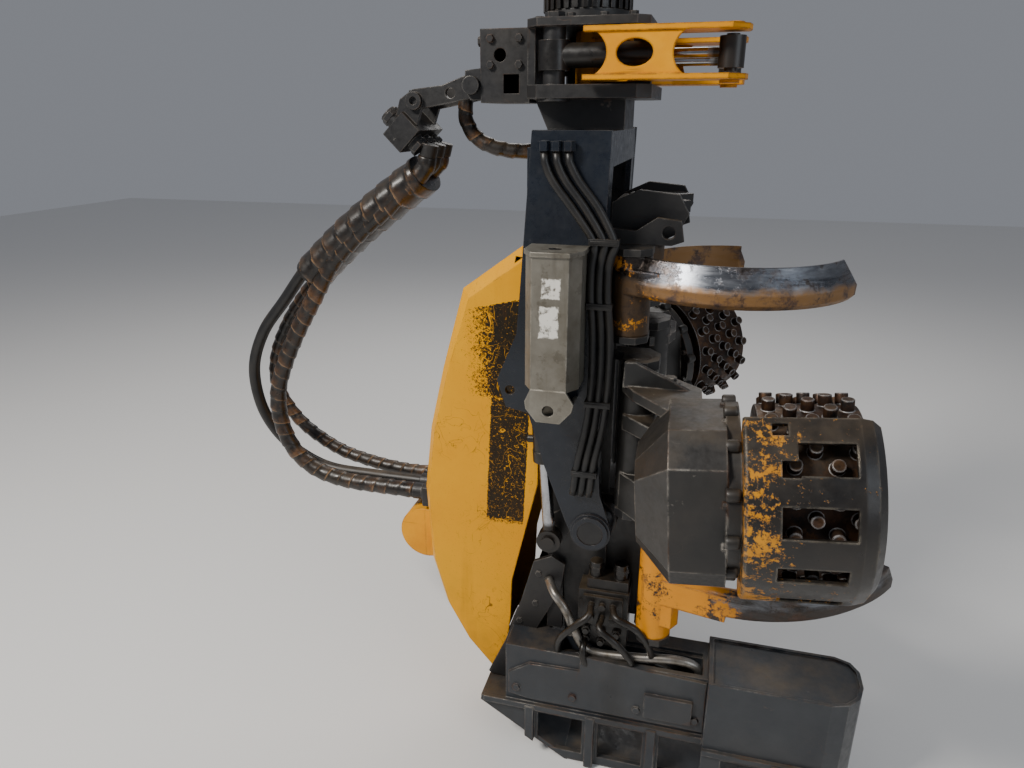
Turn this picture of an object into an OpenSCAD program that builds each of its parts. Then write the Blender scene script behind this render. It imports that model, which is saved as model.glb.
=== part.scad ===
// Harvester head hanging upright from its rotator, with tilt frame, feed rollers, knives,
// small gathering arms and saw box. All sizes in millimetres.
// Origin: middle of the hanger's pin bore. X points to the tree side, Z points up.

/* [Hanger] */
// Radius of the bore for the crane link pin
link_pin_r = 25; // [15:1:40]
// Half length of that bore
link_half = 45; // [30:5:70]
// Radius of the rotator's ribbed body
rotator_r = 100; // [80:1:130]

/* [Tilt frame] */
// Room between the head's side and a leg, for the tilt cylinder
leg_gap = 70; // [62:1:90]
// Thickness of the leg plates
leg_t = 15; // [8:1:25]
// Radius of the accumulator
accu_r = 42; // [30:1:60]

/* [Head] */
// Half width of the head between the legs
head_half = 155; // [120:5:175]
// Thickness of the cover sheet
sheet = 6; // [3:1:12]

/* [Feed rollers] */
// Outer radius over the studs
roller_r = 196; // [150:2:198]
// Width of a roller
roller_w = 190; // [120:10:240]
// Rows of studs along a roller
stud_rows = 5; // [3:1:8]
// Studs in a row
stud_count = 18; // [8:1:28]
// How far the far roller arm stands open
far_arm_open = 49; // [0:1:52]

/* [Knives] */
// Inner radius of the upper knives
knife_r = 262; // [230:2:300]
// Inner radius of the lower knives
low_knife_r = 350; // [320:5:380]
// Height of a knife's blade
knife_h = 84; // [50:2:110]
// How far the far upper knife stands open
far_knife_open = 62; // [0:1:66]

/* [Saw] */
// Length of the saw bar past its pivot
bar_len = 756; // [500:10:780]

/* [Hidden] */
$fn = 48;
link_z = 0;
leg_out = head_half + leg_gap + leg_t;
leg_in = head_half + leg_gap;
// places of the pivots on the near side, as x, y and z
cylinder_y = -head_half - leg_gap / 2;
TILT = [88, 0, -1505];
BARREL_PIN = [-60, cylinder_y, -1050];
EYE = [-25, cylinder_y, -1572];
KNIFE_PIN = [150, -head_half - 35, 0];
ARM_PIN = [180, -head_half - 33, 0];
LOWER_PIN = [255, -head_half - 50, 0];
GATHER_PIN = [10, -32, 0];
GATHER_BASE = [-48, -130, 0];
GATHER_EYE = [320, -140, 0];
SAW_PIN = [-60, 47 - head_half, 0];
bar_parked = -7;
ROLLER = [535, -400, -1243];
roller_turn = 2;
roller_tilt = 4.5;
KNIFE_C = [352, -20, 0];
LOW_KNIFE_C = [500, 90, 0];
upper_knife_z = -908;
lower_knife_z = -1664;
barrel_r = leg_gap * 0.4;
tilt_len = norm(EYE - BARREL_PIN);
tilt_lean = atan2(EYE.x - BARREL_PIN.x, BARREL_PIN.z - EYE.z);
gather_len = norm(GATHER_EYE - GATHER_BASE);
gather_aim = atan2(GATHER_EYE.y - GATHER_BASE.y, GATHER_EYE.x - GATHER_BASE.x);

dark = [0.16, 0.16, 0.17];
steel = [0.45, 0.45, 0.47];
chrome = [0.75, 0.75, 0.77];
yellow = [0.88, 0.6, 0.05];
black = [0.07, 0.07, 0.07];

// small helpers
module slab(a, b) translate(a) cube(b - a);
module rod_y(x, z, r, y0, y1) translate([x, y1, z]) rotate([90, 0, 0]) cylinder(r = r, h = y1 - y0);
module rod_z(x, y, r, z0, z1) translate([x, y, z0]) cylinder(r = r, h = z1 - z0);
module rod_x(y, z, r, x0, x1) translate([x0, y, z]) rotate([0, 90, 0]) cylinder(r = r, h = x1 - x0);
module side_plate(y0, y1, pts) translate([0, y1, 0]) rotate([90, 0, 0])
  linear_extrude(y1 - y0) polygon(pts);
module flat_plate(z0, z1, pts) translate([0, 0, z0]) linear_extrude(z1 - z0) polygon(pts);
module both() {
  children();
  mirror([0, 1, 0]) children();
}
// the far side is the near side mirrored and turned about a vertical pin
module far(pin, a) translate([pin.x, -pin.y, 0]) rotate([0, 0, a]) translate([-pin.x, pin.y, 0])
  mirror([0, 1, 0]) children();
// a strip of plate from p to q, both as x and z
module strip(p, q, t, y0, y1) translate([p.x, y0, p.y])
  rotate([0, -atan2(q.y - p.y, q.x - p.x), 0]) translate([0, 0, -t / 2])
    cube([norm(q - p), y1 - y0, t]);
module bolt_z(x, y, z, r, h) translate([x, y, z]) cylinder(r = r, h = h, $fn = 6);
module bolt_y(x, y, z, r, h) translate([x, y, z]) rotate([90, 0, 0]) cylinder(r = r, h = h, $fn = 6);

// a hose as a tube swept along its points
function unit(v) = v / norm(v);
function heading(p, i) = unit(p[min(i + 1, len(p) - 1)] - p[max(i - 1, 0)]);
function sideways(t) = unit([0, 1, 0] - t * (t * [0, 1, 0]));
function ring(p, i, r, n) = let (t = heading(p, i), a = sideways(t), b = cross(t, a))
  [for (k = [0:n - 1]) p[i] + r * (cos(360 * k / n) * a + sin(360 * k / n) * b)];
module tube(p, r, n = 10) {
  m = len(p);
  polyhedron(
    [for (i = [0:m - 1]) each ring(p, i, r, n)],
    concat([[for (k = [0:n - 1]) k]],
      [for (i = [0:m - 2], k = [0:n - 1]) [i * n + k, (i + 1) * n + k, (i + 1) * n + (k + 1) % n]],
      [for (i = [0:m - 2], k = [0:n - 1])
        [i * n + k, (i + 1) * n + (k + 1) % n, i * n + (k + 1) % n]],
      [[for (k = [n - 1:-1:0]) (m - 1) * n + k]]));
}

module hanger() color(dark) difference() {
  union() {
    rod_y(0, link_z, 58, -link_half, link_half);
    slab([-58, -link_half, -110], [58, link_half, 0]);
    rod_z(0, 0, 94, -130, -106);
    side_plate(-12, 12, [[-50, -20], [-90, -108], [90, -108], [50, -20]]);
    for (i = [0:7]) bolt_z(78 * cos(22.5 + 45 * i), 78 * sin(22.5 + 45 * i), -107, 11, 12);
  }
  rod_y(0, link_z, link_pin_r, -link_half - 1, link_half + 1);
}

module rotator_body() color(dark) difference() {
  union() {
    rod_z(0, 0, 86, -280, -130);
    rod_z(0, 0, 94, -170, -150);
    rod_z(0, 0, rotator_r - 7, -319.7, -262);
    for (i = [0:29]) rotate([0, 0, 12 * i]) slab([rotator_r - 12, -5, -319.7], [rotator_r, 5, -268]);
    slab([-118, -48, -246], [-70, 48, -186]);
    for (y = [-30, 0, 30]) rod_x(y, -216, 12, -140, -110);
  }
  rod_z(0, 0, 30.05, -321, -280);
}

// bracket under the rotator that carries the gathering arms and the tilt frame
module bracket() color(dark) {
  difference() {
    union() {
      rod_z(0, 0, 96, -344, -320);
      rod_z(0, 0, 30, -321, -285);
      flat_plate(-360, -343, [[-108, -130], [-80, -162], [130, -162], [155, -140], [155, 140],
        [130, 162], [-80, 162], [-108, 130]]);
      flat_plate(-502, -474, [[-108, -130], [-80, -164], [135, -164], [164, -140], [164, 140],
        [135, 164], [-80, 164], [-108, 130]]);
      slab([-110, -120, -480], [-92, 120, -350]);
      slab([60, -10, -476], [150, 10, -358]);
      slab([-69, -90, -567], [105, 90, -500]);
      both() side_plate(-90, -78, [[-69, -567], [-69, -500], [-100, -500]]);
    }
    slab([-45, -66, -568], [81, 66, -512]);
    rod_z(0, 0, 55, -520, -473);
  }
  both() {
    rod_z(GATHER_BASE.x, GATHER_BASE.y, 24, -475, -359);
    rod_z(GATHER_BASE.x, GATHER_BASE.y, 34, -508, -501);
    bolt_z(GATHER_BASE.x, GATHER_BASE.y, -343.5, 22, 12);
    rod_z(GATHER_PIN.x, GATHER_PIN.y, 17, -475, -359);
    for (x = [-10, 60, 120]) bolt_z(x, -146, -343.5, 10, 8);
    bolt_z(-88, -100, -343.5, 10, 8);
  }
}

module hose_box() color(dark) difference() {
  union() {
    slab([-224, -100, -510], [-110, 100, -356]);
    side_plate(-96, -80, [[-222, -436], [-262, -440], [-264, -480], [-250, -504], [-222, -504]]);
    side_plate(80, 96, [[-222, -436], [-262, -440], [-264, -480], [-250, -504], [-222, -504]]);
    for (z = [-380, -486], y = [-80, 80]) translate([-224, y, z]) rotate([0, -90, 0])
      cylinder(r = 11, h = 9, $fn = 6);
    for (x = [-200, -134], z = [-376, -430]) bolt_y(x, -99.5, z, 9, 8);
  }
  slab([-214, -90, -500], [-120, 90, -366]);
  rod_y(-178, -410, 14, -110, -80);
  rod_y(-246, -472, 14.2, -120, 120);
  slab([-170, -101, -490], [-134, -88, -450]);
}

// arm that carries the couplings of the hose loop
module at_couplings() translate([-432, 0, -575]) rotate([0, -45, 0]) children();
module hose_manifold() color(dark) {
  difference() {
    union() {
      both() side_plate(-66, -53, [[-229, -446], [-262, -446], [-330, -470], [-404, -478],
        [-438, -500], [-456, -556], [-432, -590], [-398, -560], [-384, -522], [-330, -512],
        [-262, -500], [-229, -500]]);
      both() rod_y(-246, -472, 14, -104, -60);
      both() rod_y(-246, -472, 20, -110, -96.3);
      both() rod_y(-400, -504, 20, -78, -62);
      slab([-416, -60, -512], [-392, 60, -480]);
      at_couplings() translate([-36, -84, -30]) cube([72, 168, 60]);
    }
    both() rod_y(-310, -487, 12, -90, -50);
    both() rod_y(-400, -504, 9, -90, -70);
  }
  // couplings: capped on the crane's side, elbows on the side of the loop
  for (y = [-52, 0, 52]) {
    at_couplings() {
      translate([0, y, 28]) cylinder(r = 22, h = 34);
      translate([0, y, 44]) cylinder(r = 26, h = 13, $fn = 6);
      translate([0, y, -54]) cylinder(r = 22, h = 26);
      translate([0, y, -54]) cylinder(r = 26, h = 12, $fn = 6);
    }
    translate([-377, y, -632]) rotate([0, atan2(6, 21), 0]) translate([0, 0, 0.3])
      cylinder(r = 21, h = 30);
  }
}

leg_plate = [[-70, -565], [99, -565], [94, -760], [88, -930], [92, -1180], [106, -1400],
  [136, -1490], [130, -1530], [88, -1552], [48, -1534], [26, -1490], [-34, -1333], [-73, -1205],
  [-128, -1194], [-150, -1126], [-102, -1010], [-86, -790]];

module yoke() color([0.14, 0.15, 0.18]) {
  slab([-69, -leg_out + 1, -640], [97, leg_out - 1, -567]);
  both() difference() {
    union() {
      side_plate(-leg_out, -leg_out + leg_t, leg_plate);
      strip([90, -600], [80, -1000], 14, -leg_out + 2, -leg_in + 49);
      strip([80, -985], [94, -1400], 14, -leg_out + 3, -leg_in + 48);
      slab([-80, -leg_out + 3, -962], [-66, -leg_in + 48, -600]);
      slab([-78, -leg_out + 4, -976], [82, -leg_in + 47, -960]);
      rod_y(TILT.x, TILT.z, 50, -leg_out - 6, -leg_in + 41);
      rod_y(TILT.x, TILT.z, 44, -leg_out - 12, -leg_in + 41);
      rod_y(BARREL_PIN.x, BARREL_PIN.z, 30, -leg_out + 4, -leg_in + 4.5);
    }
    rod_y(TILT.x, TILT.z, 32.05, -leg_out - 20, -leg_in + 60);
    rod_y(-118, -1150, 12, -leg_out - 2, -leg_out + 20);
  }
  both() rod_y(BARREL_PIN.x, BARREL_PIN.z, 18, -leg_out + 3, -head_half - 7);
  // fittings that the leg's three hoses come out of
  for (s = [-19, 0, 19]) bolt_z(LEG_RUN[0].y + s * LEG_RUN[0].z, -leg_out - 12, -606, 14.5, 20);
}

accu_y = -leg_out - 56;
module accumulator() color(black) {
  translate([-3, accu_y, -1096]) {
    cylinder(r = accu_r, h = 270);
    translate([0, 0, 270]) cylinder(r1 = accu_r, r2 = accu_r - 16, h = 14);
    translate([0, 0, 283]) cylinder(r = 14, h = 12, $fn = 6);
  }
  for (z = [-1080, -850]) slab([-24, accu_y - 4, z], [20, -leg_out - 0.3, z + 26]);
}

// folded sheet round the accumulator, open toward the leg
fold_y = accu_y - 48;
module accu_guard() color([0.62, 0.6, 0.55]) {
  difference() {
    flat_plate(-1106, -806, [[-64, -leg_out - 0.3], [-64, fold_y + 34], [-44, fold_y],
      [36, fold_y], [58, fold_y + 34], [58, -leg_out - 0.3]]);
    flat_plate(-1107, -805, [[-60, -leg_out + 5], [-60, fold_y + 36], [-42, fold_y + 4],
      [34, fold_y + 4], [54, fold_y + 36], [54, -leg_out + 5]]);
  }
  difference() {
    flat_plate(-811, -801, [[-68, -leg_out - 0.3], [-68, fold_y + 33], [-46, fold_y - 4],
      [38, fold_y - 4], [62, fold_y + 33], [62, -leg_out - 0.3]]);
    rod_z(-3, accu_y, 15, -812, -800);
  }
  difference() {
    side_plate(fold_y - 2, fold_y + 4, [[-44, -1104], [36, -1104], [54, -1132], [50, -1150],
      [24, -1180], [-30, -1180], [-54, -1150], [-56, -1132]]);
    rod_y(-3, -1152, 13, fold_y - 6, fold_y + 14);
  }
  side_plate(fold_y + 3, -leg_out - 0.3, [[-50, -1150], [-30, -1180], [24, -1180], [46, -1150],
    [38, -1150], [20, -1174], [-26, -1174], [-42, -1150]]);
}

// hoses of the loop between the couplings and the back of the cover, as x and z of the near,
// middle and far one, and how far each lies to the side at its two ends
NEAR_LOOP = [[-377, -632], [-383, -653], [-399, -675], [-432, -702], [-490, -756], [-572, -822],
  [-660, -908], [-724, -1009], [-790, -1117], [-840, -1216], [-868, -1302], [-866, -1390],
  [-834, -1472], [-768, -1528], [-676, -1552], [-575, -1556], [-452.3, -1556]];
MID_LOOP = [[-377, -632], [-383, -653], [-406, -672], [-458, -696], [-534, -744], [-641, -818],
  [-758, -924], [-850, -1034], [-930, -1132], [-976, -1244], [-970, -1359], [-926, -1447],
  [-852, -1510], [-752, -1550], [-610, -1556], [-452.3, -1556]];
FAR_LOOP = [[-377, -632], [-383, -653], [-412, -680], [-510, -752], [-603, -820], [-702, -908],
  [-808, -1018], [-886, -1125], [-936, -1235], [-938, -1333], [-874, -1433], [-762, -1508],
  [-655, -1540], [-540, -1556], [-452.3, -1556]];
function laid(p, y0, y1) = [for (i = [0:len(p) - 1])
  [p[i].x, y0 + (y1 - y0) * min(max(i - 1, 0) / (len(p) - 3), 1), p[i].y]];
module loop_hose_a() color(black) tube(laid(NEAR_LOOP, -52, -60), 24);
module loop_hose_b() color(black) tube(laid(MID_LOOP, 0, 0), 16);
module loop_hose_c() color(black) tube(laid(FAR_LOOP, 52, 60), 20);

LEG_RUN = [[-606, -14, 1.37], [-622, -14, 1.37], [-664, 6, 1.5], [-720, 50, 1.5],
  [-790, 94, 1.16], [-812, 93, 1.03], [-845, 87.5, 0.96], [-880, 87, 0.96], [-915, 88, 0.96],
  [-1000, 96, 1], [-1110, 97, 1], [-1210, 90, 1], [-1310, 72, 1], [-1400, 62, 1]];
// columns of LEG_RUN: height, place of the middle hose, and share of the hoses' spacing
function leg_run(s) = [for (p = LEG_RUN) [p.y + s * p.z, -leg_out - 12, p.x]];
module leg_hose_a() color(black) tube(leg_run(-19), 9, 8);
module leg_hose_b() color(black) tube(leg_run(0), 9, 8);
module leg_hose_c() color(black) tube(leg_run(19), 9, 8);
module column_hose() color(black)
  tube([[-224.3, 20, -446], [-248, 20, -446], [-284, 20, -470], [-300, 20, -512],
    [-298, 20, -552], [-274, 21, -588], [-232, 24, -610], [-176, 36, -620], [-112, 48, -618],
    [-69.3, 48, -618]], 19);

module gather_arm() color(yellow) difference() {
  union() {
    rod_z(GATHER_PIN.x, GATHER_PIN.y, 29, -473, -361);
    for (z = [-377, -468]) flat_plate(z, z + 11, [[-18, -40], [-12, -14], [8, -4], [40, -8],
      [120, -88], [190, -112], [300, -112], [352, -114], [356, -140], [350, -168], [318, -204],
      [26, -204], [26, -184], [118, -182], [112, -136], [68, -92], [24, -60], [-6, -58]]);
    difference() {
      side_plate(-200, -188, [[34, -367], [252, -367], [252, -467], [34, -467]]);
      rod_y(28, -417, 46, -210, -180);
      rod_y(256, -417, 48, -210, -180);
    }
    rod_z(GATHER_EYE.x, GATHER_EYE.y, 20, -366.5, -361);
    rod_z(GATHER_EYE.x, GATHER_EYE.y, 20, -474, -467);
    flat_plate(-460, -375, [[24, -52], [60, -40], [116, -90], [108, -98]]);
  }
  rod_z(GATHER_PIN.x, GATHER_PIN.y, 17.05, -480, -350);
  translate([131, -170, -417]) rotate([90, 0, 0]) scale([1.42, 1, 1]) cylinder(r = 26, h = 40);
}
module gather_arm_near() gather_arm();
module gather_arm_far() mirror([0, 1, 0]) gather_arm();

module along_gather() translate([GATHER_BASE.x, GATHER_BASE.y, -416]) rotate([0, 0, gather_aim])
  rotate([0, 90, 0]) children();
module gather_barrel() color(dark) difference() {
  union() {
    rod_z(GATHER_BASE.x, GATHER_BASE.y, 34, -446, -386);
    along_gather() {
      translate([0, 0, 20]) cylinder(r = 25, h = 190);
      translate([0, 0, 204]) cylinder(r = 27, h = 22);
      translate([-20, 0, 190]) rotate([0, -90, 0]) cylinder(r = 8, h = 18);
    }
  }
  rod_z(GATHER_BASE.x, GATHER_BASE.y, 24.05, -460, -370);
  along_gather() translate([0, 0, 36]) cylinder(r = 10.05, h = 200);
}
module gather_rod() color(chrome) {
  along_gather() translate([0, 0, 146]) cylinder(r = 10, h = gather_len - 166);
  rod_z(GATHER_EYE.x, GATHER_EYE.y, 26, -446, -386);
  rod_z(GATHER_EYE.x, GATHER_EYE.y, 13, -452, -382);
}
module gather_barrel_near() gather_barrel();
module gather_barrel_far() mirror([0, 1, 0]) gather_barrel();
module gather_rod_near() gather_rod();
module gather_rod_far() mirror([0, 1, 0]) gather_rod();

module along_tilt() translate(BARREL_PIN) rotate([0, -tilt_lean, 0]) rotate([180, 0, 0]) children();
module tilt_barrels() color(dark) both() difference() {
  union() {
    rod_y(BARREL_PIN.x, BARREL_PIN.z, 32, cylinder_y - 27, cylinder_y + 24);
    along_tilt() {
      translate([0, 0, 20]) cylinder(r = barrel_r, h = 270);
      translate([0, 0, 268]) cylinder(r = barrel_r + 2, h = 30);
      translate([0, -6, 244]) rotate([0, -90, 0]) cylinder(r = 10, h = barrel_r + 14);
    }
  }
  rod_y(BARREL_PIN.x, BARREL_PIN.z, 18.05, -leg_in - 5, -head_half);
  along_tilt() translate([0, 0, 33]) cylinder(r = 16.05, h = 290);
}
module tilt_rods() color(chrome) both() {
  along_tilt() translate([0, 0, 215]) cylinder(r = 16, h = tilt_len - 235);
  rod_y(EYE.x, EYE.z, 31, cylinder_y - 18, cylinder_y + 17);
  rod_y(EYE.x, EYE.z, 17, cylinder_y - 26, cylinder_y + 20);
}

// main frame of the head: two side plates, a spine, lugs for the arms and knives
side_frame = [[-60, -806], [110, -806], [118, -870], [118, -1660], [110, -1700],
  [110, -1879.7], [14, -1879.7], [10, -1760], [-40, -1640], [-40, -1430], [-60, -1400]];
flank = [[-24, -1640], [-72, -1664], [-108, -1800], [-152, -1940], [-202, -2056], [-190, -2063.7],
  [-128.3, -2063.7], [-128.3, -1879.7], [-62, -1879.7], [-36, -1826], [4, -1740], [14, -1660]];
// lug that holds the foot or head of a vertical pin
module lug(pin, z, t, x0 = 100) flat_plate(z, z + t, [[x0, -118], [x0, pin.y + 38],
  [pin.x - 40, pin.y + 24],
  [pin.x - 38, pin.y - 28], [pin.x - 16, pin.y - 46], [pin.x + 20, pin.y - 46],
  [pin.x + 44, pin.y - 20], [pin.x + 44, pin.y + 30], [pin.x + 16, -118]]);
module frame() color(dark) difference() {
  union() {
    both() side_plate(-head_half + 8, -head_half + 22, side_frame);
    slab([96, -head_half + 10, -1870], [110, head_half - 10, -810]);
    slab([-60, -head_half + 10, -820], [112, head_half - 10, -806]);
    slab([14, -head_half + 10, -1879.7], [110, head_half - 10, -1862]);
    slab([-60, -head_half + 10, -1400], [100, head_half - 10, -1386]);
    both() {
      for (z = [-1018, -822]) lug(KNIFE_PIN, z, 16);
      rod_z(KNIFE_PIN.x, KNIFE_PIN.y, 26, -1020, -808);
      for (z = [-1080, -1462]) lug(ARM_PIN, z, 22);
      rod_z(ARM_PIN.x, ARM_PIN.y, 26, -1463, -1057);
      for (z = [-1518, -1806]) lug(LOWER_PIN, z, 18, 204);
      rod_z(LOWER_PIN.x, LOWER_PIN.y, 26, -1808, -1498);
      slab([100, -132, -1806], [226, -118, -1500]);
      rod_y(TILT.x, TILT.z, 56, -leg_in + 47, -head_half + 12);
      rod_y(TILT.x, TILT.z, 32, -leg_out - 10, -head_half + 20);
      side_plate(-head_half + 6, -head_half + 26, [[20, -1490], [20, -1570], [-6, -1604],
        [-44, -1604], [-56, -1572], [-40, -1530]]);
      rod_y(EYE.x, EYE.z, 17, -head_half - 10, -head_half + 20);
      // side plate between the cover and the saw box
      side_plate(-head_half - 12, -head_half - 0.3, flank);
      slab([-34, -head_half - 4, -1870], [8, -head_half + 12, -1700]);
      for (q = [[-58, -1700], [-66, -1796], [-110, -1860]])
        bolt_y(q.x, -head_half - 11, q.y, 9, 5);
    }
    side_plate(-9, 9, [[108, -870], [150, -930], [150, -1050], [108, -1080]]);
    side_plate(-9, 9, [[108, -1100], [146, -1150], [146, -1380], [108, -1430]]);
  }
  both() rod_y(40, -1000, 26, -head_half - 1, -head_half + 30);
}

// outline of the cover in the middle, and where its chamfered edge meets the sides
cover_mid = [[-96, -836], [-119, -828], [-266, -936], [-295, -1039], [-325, -1147], [-365, -1318],
  [-387, -1498], [-376, -1719], [-336, -1864], [-277, -1974], [-202, -2058], [-66, -2058],
  [-66, -836]];
cover_side = [[-88, -862], [-110, -857], [-244, -955], [-274, -1050], [-306, -1152], [-347, -1320],
  [-370, -1498], [-359, -1714], [-320, -1856], [-263, -1963], [-192, -2046], [-66, -2046],
  [-66, -862]];
module cover_form(d) hull() {
  side_plate(-head_half + 26 + d, head_half - 26 - d, cover_mid);
  side_plate(-head_half + d, head_half - d, cover_side);
}
module cover() color(yellow) {
  difference() {
    cover_form(0);
    translate([8, 0, -4]) cover_form(sheet);
    side_plate(-head_half + sheet, head_half - sheet, [[-130, -850], [-60, -850], [-60, -2070],
      [-180, -2070], [-150, -1900]]);
    side_plate(-head_half - 1, head_half + 1, [[-67, -1440], [-136, -1743], [-140, -1860],
      [-150, -1960], [-200, -2062], [-40, -2080], [-40, -1440]]);
    for (y = [-60, 0, 60]) rod_x(y, -1556, 28, -470, -340);
  }
}

module fittings() color(dark) {
  // boss where the hose loop goes in, and the lug below it
  color(yellow) difference() {
    union() {
      side_plate(-90, 90, [[-383.7, -1586], [-450, -1600], [-492, -1640], [-500, -1700],
        [-478, -1752], [-430, -1776], [-361.2, -1774], [-376.3, -1719]]);
    }
    side_plate(-78, 78, [[-360, -1590], [-440, -1612], [-480, -1648], [-488, -1700],
      [-468, -1742], [-428, -1764], [-360, -1764]]);
  }
  for (y = [-60, 0, 60]) {
    rod_x(y, -1556, 24, -452, -376);
    rod_x(y, -1556, 28.5, -424, -404);
  }
  slab([-418, -95, -1586], [-386, 95, -1526]);
}

module top_knife() color(dark) {
  flat_plate(-742, -716, [[112, -90], [150, -120], [236, -120], [262, -80], [226, -40], [214, 0],
    [226, 40], [262, 80], [236, 120], [150, 120], [112, 90]]);
  both() side_plate(-122, -108, [[90, -805.7], [90, -720], [150, -692], [238, -700], [262, -742],
    [240, -786], [200, -805.7]]);
  slab([90, -116, -805.7], [106, 116, -722]);
  both() difference() {
    side_plate(-168, -152, [[60, -805.7], [60, -790], [100, -772], [150, -776], [196, -746],
      [248, -752], [256, -796], [230, -805.7]]);
    rod_y(222, -778, 14, -190, -150);
  }
  both() slab([60, -154, -805.7], [100, -118, -792]);
}

valve_y = -head_half - 57;
module valve_block() color(black) {
  slab([60, valve_y, -1862], [190, -head_half + 7.7, -1694]);
  slab([74, valve_y - 10, -1790], [176, valve_y + 1, -1706]);
  slab([80, valve_y + 8, -1696], [186, -head_half + 5, -1664]);
  for (z = [-1730, -1766], x = [96, 124, 152]) rod_y(x, z, 9, valve_y - 22, valve_y - 8);
  for (z = [-1812, -1842], x = [84, 124, 164]) {
    translate([x, valve_y + 1, z]) rotate([90, 0, 0]) cylinder(r = 12, h = 12, $fn = 6);
    rod_y(x, z, 8, valve_y - 20, valve_y - 8);
  }
  for (x = [100, 164]) {
    rod_z(x, -head_half - 26, 17, -1665, -1622);
    bolt_z(x, -head_half - 26, -1648, 20, 12);
  }
}

module measuring_arm() color(dark) {
  difference() {
    union() {
      side_plate(-12, 12, [[110.3, -1560], [150, -1540], [206, -1516], [206, -1484], [188, -1476],
        [140, -1500], [110.3, -1516]]);
      rod_y(190, -1498, 20, -14, 14);
    }
    rod_y(190, -1498, 10.05, -20, 20);
    slab([138, -7.5, -1600], [260, 7.5, -1440]);
  }
}
module measuring_wheel() color(steel) {
  rod_y(190, -1498, 44, -6, 6);
  rod_y(190, -1498, 10, -15, 15);
  for (i = [0:23]) translate([190, 0, -1498]) rotate([0, 15 * i, 0])
    translate([43, -4, -2]) cube([6, 8, 4]);
}

// curved knife: an arc of bevelled steel about c on a hub round a pin, for the near side
module knife(pin, c, r, from, to, slope, blade, hub0, hub1) difference() {
  union() {
    difference() {
      translate(c) rotate([0, -slope, 0]) rotate([0, 0, from])
        rotate_extrude(angle = to - from, $fn = 96) polygon([for (q = blade) [r + q.x, q.y]]);
      translate(c) rotate([0, -slope, 0]) rotate([0, 0, to]) translate([r, -52, blade[0].y - 8])
        rotate([0, 0, 28]) cube([90, 120, knife_h + 60]);
    }
    rod_z(pin.x, pin.y, 44, hub0, hub1);
    children();
  }
  rod_z(pin.x, pin.y, 26.05, hub0 - 1, hub1 + 1);
}
// sections of the blades, out from the inner face and up
upper_blade = [[0, 0], [22, 0], [31, 10], [32, 32], [5, knife_h], [0, knife_h]];
lower_blade = [[0, 4], [14, 0], [26, 12], [28, 34], [20, knife_h - 16], [6, knife_h - 8],
  [0, knife_h - 10]];
upper_root = [[KNIFE_PIN.x - 26, KNIFE_PIN.y + 26], [KNIFE_PIN.x + 20, KNIFE_PIN.y + 18],
  [196, -196], [226, -240], [214, -268], [150, -240], [KNIFE_PIN.x - 34, KNIFE_PIN.y - 30]];
lower_root = [[LOWER_PIN.x - 20, LOWER_PIN.y + 34], [LOWER_PIN.x + 22, LOWER_PIN.y + 26],
  [330, -206], [430, -247], [424, -278], [340, -262], [LOWER_PIN.x - 30, LOWER_PIN.y - 34]];
module upper_knife(drop) color(steel)
  knife(KNIFE_PIN, [KNIFE_C.x, KNIFE_C.y, upper_knife_z - drop], knife_r, 212, 344, 0, upper_blade,
    -1001.5, -822.5)
    flat_plate(upper_knife_z - drop + 4, upper_knife_z - drop + knife_h * 0.7, upper_root);
module lower_knife(drop) color(steel)
  knife(LOWER_PIN, [LOW_KNIFE_C.x, LOW_KNIFE_C.y, lower_knife_z - drop], low_knife_r, 231, 333, 6,
    lower_blade, -1787.5, -1518.5) {
    flat_plate(lower_knife_z - drop - 16, lower_knife_z - drop + knife_h - 30, lower_root);
    flat_plate(-1745, -1590, [[LOWER_PIN.x - 26, LOWER_PIN.y + 20], [LOWER_PIN.x + 29, LOWER_PIN.y + 25],
      [316, -226], [300, -252], [LOWER_PIN.x - 33, LOWER_PIN.y - 30]]);
  }
module upper_knife_near() upper_knife(0);
module upper_knife_far() far(KNIFE_PIN, far_knife_open) upper_knife(knife_h + 6);
module lower_knife_near() lower_knife(0);
module lower_knife_far() far(LOWER_PIN, 34) lower_knife(knife_h + 6);

// roller arm: hub on the frame's pin, plates, and the cast housing of the roller's motor
module at_roller() translate(ROLLER) rotate([0, 0, roller_turn]) rotate([0, 90 - roller_tilt, 0])
  children();
// section of the housing, down and away from the photo's side
housing = [[160, -120], [164, 60], [120, 146], [-110, 146], [-160, 90], [-166, -96], [-112, -158],
  [104, -164]];
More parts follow.
